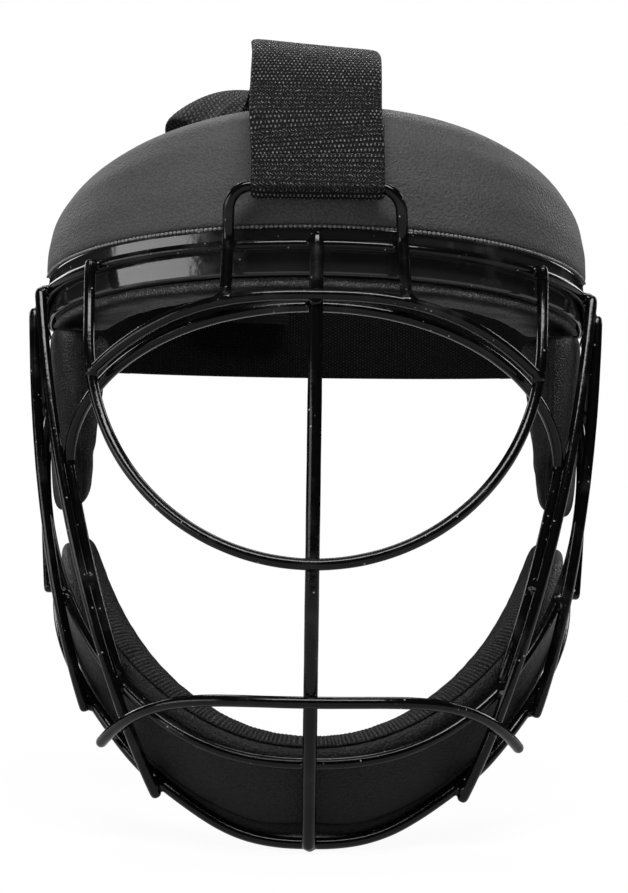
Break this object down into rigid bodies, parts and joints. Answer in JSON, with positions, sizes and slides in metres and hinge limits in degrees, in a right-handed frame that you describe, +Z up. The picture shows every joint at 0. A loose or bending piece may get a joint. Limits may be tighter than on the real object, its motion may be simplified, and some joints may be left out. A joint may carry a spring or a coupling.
{
  "type": "hockey face cage",
  "caption": "Welded wire face guard with a padded brow strip, temple and chin pads, and a head harness of wide webbing.",
  "frame": {"origin": "midway between the temples at eye level, where the middle of the wearer's head sits", "axes": "+Z up, -Y the way the wearer looks, +X the wearer's left"},
  "size_m": [0.216, 0.2167, 0.2827],
  "materials": {
    "coated_wire": "gloss dip coat",
    "coated_strip": "gloss dip coat",
    "foam": "matte moulded foam",
    "liner": "soft satin leatherette",
    "webbing": "woven ribbed webbing",
    "elastic": "woven elastic",
    "ring_wire": "satin black",
    "rivet": "gloss black"
  },
  "bodies": {
    "cage": {"brow_strip": "coated_strip", "rim_wire": "coated_wire", "brow_wire": "coated_wire", "strap_loop": "coated_wire", "face_ring_wire": "coated_wire", "eye_wire": "coated_wire", "centre_bar": "coated_wire", "mouth_wire": "coated_wire", "upper_jaw_wire": "coated_wire", "lower_jaw_wire": "coated_wire", "side_wire_front_left": "coated_wire", "side_wire_front_right": "coated_wire", "side_wire_middle_left": "coated_wire", "side_wire_middle_right": "coated_wire", "side_wire_rear_left": "coated_wire", "side_wire_rear_right": "coated_wire", "forehead_pad": "foam", "forehead_liner": "liner", "temple_pad_left": "liner", "temple_pad_right": "liner", "chin_liner": "liner", "chin_pad": "foam", "harness_rivet_left": "rivet", "harness_rivet_right": "rivet"},
    "crown_strap": {"top_strap": "webbing"},
    "harness": {"anchor_tab_left": "webbing", "anchor_tab_right": "webbing", "strap_ring_left": "ring_wire", "strap_ring_right": "ring_wire", "back_band": "elastic"},
    "left_flap": {"band_flap_left": "elastic"},
    "right_flap": {"band_flap_right": "elastic"}
  },
  "joints": [
    {"name": "top_strap_swing", "type": "hinge", "parent": "cage", "child": "crown_strap", "pos_m": [0, -0.08524, 0.0875], "axis": [1, 0, 0], "range_deg": [0, 100]},
    {"name": "harness_swing", "type": "hinge", "parent": "cage", "child": "harness", "pos_m": [0, 0.012, 0.05045], "axis": [1, 0, 0], "range_deg": [-50, 0]},
    {"name": "left_flap_peel", "type": "hinge", "parent": "harness", "child": "left_flap", "pos_m": [0.09785, 0.05255, 0.05045], "axis": [0, 0, -1], "range_deg": [0, 80]},
    {"name": "right_flap_peel", "type": "hinge", "parent": "harness", "child": "right_flap", "pos_m": [-0.09785, 0.05255, 0.05045], "axis": [0, 0, 1], "range_deg": [0, 80]}
  ]
}
